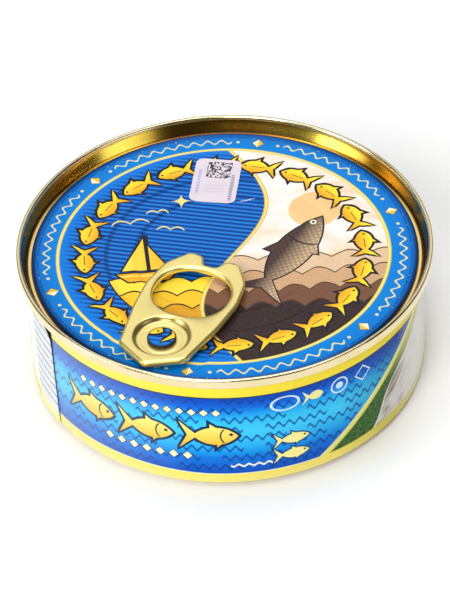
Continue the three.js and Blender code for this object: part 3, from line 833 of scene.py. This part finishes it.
def build_tab():
    curl = 0.95
    outer = resample(tab_outline(), 320)
    hole = resample(hole_outline(), 180)
    n_out, n_hole = normals2(outer), normals2(hole)
    for _ in range(3):   # even out the normals at the tight corners
        n_out = n_out + np.roll(n_out, 1, 0) + np.roll(n_out, -1, 0)
        n_out /= np.linalg.norm(n_out, axis=1)[:, None]
    verts, faces = [], []

    def ring(points, z):
        start = len(verts)
        verts.extend((p[0], p[1], z) for p in points)
        return np.arange(start, start + len(points))

    def bridge(a, b):
        n = len(a)
        for i in range(n):
            j = (i + 1) % n
            faces.append((a[i], a[j], b[j], b[i]))

    def roll(points, normals, sign, r, top_z, low_z):
        """Rings round a rolled edge from the under side to the top."""
        mid = (top_z + low_z) / 2
        hz = (top_z - low_z) / 2
        out = []
        for ph in np.radians([-90, -72, -54, -36, -18, 0, 18, 36, 54, 72, 90]):
            inset = r - r * math.cos(ph)
            out.append(ring(points - sign * normals * inset, mid + hz * math.sin(ph)))
        return out

    top, low = TAB_T, 0.0
    ro = roll(outer, n_out, 1.0, curl, top, low)
    rh = roll(hole, n_hole, -1.0, 0.75, top - 0.05, low + 0.1)
    for a, b in zip(ro[:-1], ro[1:]):
        bridge(a, b)
    for a, b in zip(rh[:-1], rh[1:]):
        bridge(b, a)
    # flat loops just inside each roll
    o2 = ring(outer - n_out * (curl + 0.16), top)
    bridge(ro[-1], o2)
    h2 = ring(hole + n_hole * (0.75 + 0.14), top)
    bridge(h2, rh[-1])

    # the dish about the rivet
    ang = np.linspace(0, 2 * np.pi, 96, endpoint=False)
    circle = np.stack([np.cos(ang), np.sin(ang)], 1)
    dish = finer([(7.35, top), (7.15, top - 0.02), (6.95, top - 0.12), (6.72, top - 0.36), (6.52, top - 0.72), (6.32, top - 1.02),
                  (6.0, top - 1.2), (5.6, top - 1.26), (5.1, top - 1.26), (4.98, top - 1.33), (4.86, top - 1.26),
                  (4.4, top - 1.24), (3.6, top - 1.26), (2.6, top - 1.28)], 1)
    rings = [ring(circle * r, z) for r, z in dish]
    for a, b in zip(rings[:-1], rings[1:]):
        bridge(a, b)
    floor_edge = rings[-1]
    bore = ring(circle * 2.6, low)
    bridge(floor_edge, bore)

    def cap(loops, z, up):
        ids = np.concatenate(loops)
        pts = np.array([verts[i][:2] for i in ids])
        edges, at = [], 0
        for lp in loops:
            n = len(lp)
            edges += [(at + i, at + (i + 1) % n) for i in range(n)]
            at += n
        res = delaunay_2d_cdt([Vector(p) for p in pts], edges, [], 0, 1e-6, True)
        back = []
        for q, src in zip(res[0], res[3]):
            if src:
                back.append(int(ids[src[0]]))
            else:
                back.append(len(verts))
                verts.append((q[0], q[1], z))
        tri = [f for f in res[2]]
        mids = np.array([np.mean([res[0][i] for i in f], axis=0) for f in tri])
        borders = [np.array([verts[i][:2] for i in lp]) for lp in loops]
        ok = inside(borders[0], mids)
        for bd in borders[1:]:
            ok &= ~inside(bd, mids)
        for f, keep in zip(tri, ok):
            if keep:
                q = [back[i] for i in f]
                faces.append(tuple(q) if up else tuple(reversed(q)))

    cap([o2, h2, rings[0]], top, True)
    cap([ro[0], rh[0], bore], low, False)

    out = []
    for s, t, z in verts:
        px, py = from_tab(s, -t)
        out.append((px, py, TAB_Z + z))
    # tab coordinates mirror into the lid's, so flip the winding once
    return make_object("ring_pull", out, faces, [TAB_GOLD])


# ------------------------------------------------------------------ label
def build_label():
    thick = 0.14
    end = LAP_END + 360.0
    cols = np.concatenate([np.linspace(LAP_START, -152, 8)[:-1], np.linspace(-152, 180, 420)[:-1], np.linspace(180, end, 110)])
    rows = 26

    def lift(a):
        t = np.clip((a - (LAP_START + 360 - 14)) / 13.0, 0, 1)
        base = (thick + 0.12) * t * t * (3 - 2 * t)
        tip = np.clip((a - (end - 5.0)) / 5.0, 0, 1)
        return base + 0.16 * tip * tip

    verts, uvs = [], []
    grid_out, grid_in = [], []
    for layer in (0, 1):
        grid = []
        for a in cols:
            d = (end - a) * math.pi / 180 * 49.7          # mm to the free end
            top = 33.15
            if d < 10.0:
                top -= 3.6 * (1 - d / 10.0) ** 1.1
            if d < 1.6:
                top -= 0.9 * (1 - math.sqrt(max(0.0, 1 - (1 - d / 1.6) ** 2)))
            low = 1.72
            line = []
            for k in range(rows + 1):
                z = low + (top - low) * k / rows
                corner = np.clip((z - 26.0) / 7.0, 0, 1) * np.clip((a - (end - 6.5)) / 6.5, 0, 1)
                r = LABEL_R + lift(a) + 0.45 * corner ** 1.5 + (thick if layer == 0 else 0.0)
                lean = a - 1.1 * (z / 33.0) * np.clip((a - (end - 6.0)) / 6.0, 0, 1)
                ar = math.radians(lean)
                line.append(len(verts))
                verts.append((r * math.cos(ar), r * math.sin(ar), z))
                uvs.append((lean, z))
            grid.append(line)
        (grid_out if layer == 0 else grid_in).extend(grid)
    faces = []
    n = len(cols)
    for i in range(n - 1):
        for k in range(rows):
            faces.append((grid_out[i][k], grid_out[i + 1][k], grid_out[i + 1][k + 1], grid_out[i][k + 1]))
            faces.append((grid_in[i][k], grid_in[i][k + 1], grid_in[i + 1][k + 1], grid_in[i + 1][k]))
        faces.append((grid_out[i][rows], grid_out[i + 1][rows], grid_in[i + 1][rows], grid_in[i][rows]))
        faces.append((grid_out[i][0], grid_in[i][0], grid_in[i + 1][0], grid_out[i + 1][0]))
    for k in range(rows):
        faces.append((grid_out[0][k], grid_out[0][k + 1], grid_in[0][k + 1], grid_in[0][k]))
        faces.append((grid_out[n - 1][k], grid_in[n - 1][k], grid_in[n - 1][k + 1], grid_out[n - 1][k + 1]))
    ob = make_object("paper_label", verts, faces, [LABEL])
    layer = ob.data.uv_layers.new(name="wrap")
    for lp in ob.data.loops:
        layer.data[lp.index].uv = uvs[lp.vertex_index]
    ob.data.set_sharp_from_angle(angle=math.radians(50))
    return ob


# ------------------------------------------------------------------ sticker
def build_sticker():
    w, l, corner, thick = 11.8, 16.6, 1.9, 0.1
    at, turn = (-1.6, 28.4), math.radians(-9.0)
    nx, ny = 40, 56
    verts, uvs = [], []
    grids = []
    for layer in (0, 1):
        grid = []
        for j in range(ny + 1):
            y = (j / ny - 0.5) * l
            over = max(0.0, abs(y) - (l / 2 - corner))
            inset = corner - math.sqrt(max(0.0, corner ** 2 - over ** 2))
            line = []
            for i in range(nx + 1):
                x = (i / nx - 0.5) * (w - 2 * inset)
                px = at[0] + x * math.cos(turn) - y * math.sin(turn)
                py = at[1] + x * math.sin(turn) + y * math.cos(turn)
                # paper bridges the lid's steps softly
                z = 0.0
                for k in (-0.9, 0.0, 0.9):
                    rr = math.hypot(px, py) + k
                    z += float(panel_height(np.array([0.0]), np.array([rr]))[0]) / 3
                z += 0.07 + (thick if layer == 0 else 0.0)
                curl = max(0.0, (x / w + y / l) - 0.78)
                z += 2.2 * curl * curl
                line.append(len(verts))
                verts.append((px, py, z))
                uvs.append((x, y))
            grid.append(line)
        grids.append(grid)
    a, b = grids
    faces = []
    for j in range(ny):
        for i in range(nx):
            faces.append((a[j][i], a[j][i + 1], a[j + 1][i + 1], a[j + 1][i]))
            faces.append((b[j][i], b[j + 1][i], b[j + 1][i + 1], b[j][i + 1]))
    for i in range(nx):
        faces.append((a[0][i], b[0][i], b[0][i + 1], a[0][i + 1]))
        faces.append((a[ny][i], a[ny][i + 1], b[ny][i + 1], b[ny][i]))
    for j in range(ny):
        faces.append((a[j][0], a[j + 1][0], b[j + 1][0], b[j][0]))
        faces.append((a[j][nx], b[j][nx], b[j + 1][nx], a[j + 1][nx]))
    ob = make_object("paper_sticker", verts, faces, [STICKER])
    layer = ob.data.uv_layers.new(name="face")
    for lp in ob.data.loops:
        layer.data[lp.index].uv = uvs[lp.vertex_index]
    ob.data.set_sharp_from_angle(angle=math.radians(50))
    return ob


def outward(ob):
    bm = bmesh.new()
    bm.from_mesh(ob.data)
    bmesh.ops.remove_doubles(bm, verts=bm.verts, dist=1e-7)
    bmesh.ops.recalc_face_normals(bm, faces=bm.faces)
    bm.to_mesh(ob.data)
    bm.free()
    ob.data.update()
    return ob


pieces = [
    (outward(build_body()), "tin_body", "tin_gold"),
    (outward(build_lid()), "lid", "lid_print"),
    (outward(build_tab()), "pull_tab", "tab_gold"),
    (build_label(), "label", "label_paper"),
    (build_sticker(), "sticker", "sticker_paper"),
]
for ob, node, slot in pieces:
    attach(ob, "root")
    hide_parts(node)

# ------------------------------------------------------------------ floor, light, camera
floor_mat = bpy.data.materials.new("studio_floor")
floor_mat.use_nodes = True
fb = floor_mat.node_tree.nodes["Principled BSDF"]
fb.inputs["Base Color"].default_value = (0.99, 0.99, 0.99, 1)
fb.inputs["Roughness"].default_value = 0.7
me = bpy.data.meshes.new("floor")
me.from_pydata([(-3, -3, 0), (3, -3, 0), (3, 3, 0), (-3, 3, 0)], [], [(0, 1, 2, 3)])
me.materials.append(floor_mat)
floor = bpy.data.objects.new("floor", me)
scene.collection.objects.link(floor)

world = bpy.data.worlds.new("studio")
scene.world = world
world.use_nodes = True
wn = world.node_tree
bg = wn.nodes["Background"]
bg.inputs["Color"].default_value = (1, 1, 1, 1)
bg.inputs["Strength"].default_value = 0.05


def area(name, where, aim, size, power, colour=(1, 1, 1)):
    d = bpy.data.lights.new(name, "AREA")
    d.shape = "RECTANGLE"
    d.size, d.size_y = size
    d.energy = power
    d.color = colour
    o = bpy.data.objects.new(name, d)
    scene.collection.objects.link(o)
    o.location = where
    o.rotation_mode = "QUATERNION"
    o.rotation_quaternion = (Vector(aim) - Vector(where)).to_track_quat("-Z", "Y")
    return o


area("soft_left", (-0.85, -0.30, 0.36), (0, 0, 0.02), (0.5, 0.5), 3.3)
area("soft_right", (0.72, -0.56, 0.20), (0, 0, 0.02), (0.5, 0.3), 0.7)
area("soft_top", (0.0, 0.05, 1.00), (0, 0, 0.02), (0.9, 0.8), 6.5)
area("soft_front", (-0.37, -0.97, 0.82), (0, 0, 0.02), (0.7, 0.45), 9.2)
area("soft_back", (0.0, 0.95, 0.85), (0, 0, 0.02), (2.4, 0.7), 4.6)

FOCAL_PX, DIST, ELEV, ROLL = 2431.2, 609.7, 41.12, 2.27
e = math.radians(ELEV)
back = Vector((0, -math.cos(e), math.sin(e)))
right = Vector((1, 0, 0))
up = back.cross(right)
ro = math.radians(ROLL)
right2 = right * math.cos(ro) - up * math.sin(ro)
up2 = right * math.sin(ro) + up * math.cos(ro)
cam = bpy.data.cameras.new("camera")
cam.sensor_fit = "AUTO"
cam.sensor_width = 36.0
cam.lens = FOCAL_PX / 600 * 36.0
cam.shift_x = -1.8 / 600
cam.shift_y = 3.6 / 600
cam.clip_start, cam.clip_end = 0.01, 20
cam_ob = bpy.data.objects.new("camera", cam)
scene.collection.objects.link(cam_ob)
m = Matrix((right2, up2, back)).transposed().to_4x4()
m.translation = back * (DIST * MM) + Vector((0, 0, 0.015))
cam_ob.matrix_world = m
scene.camera = cam_ob
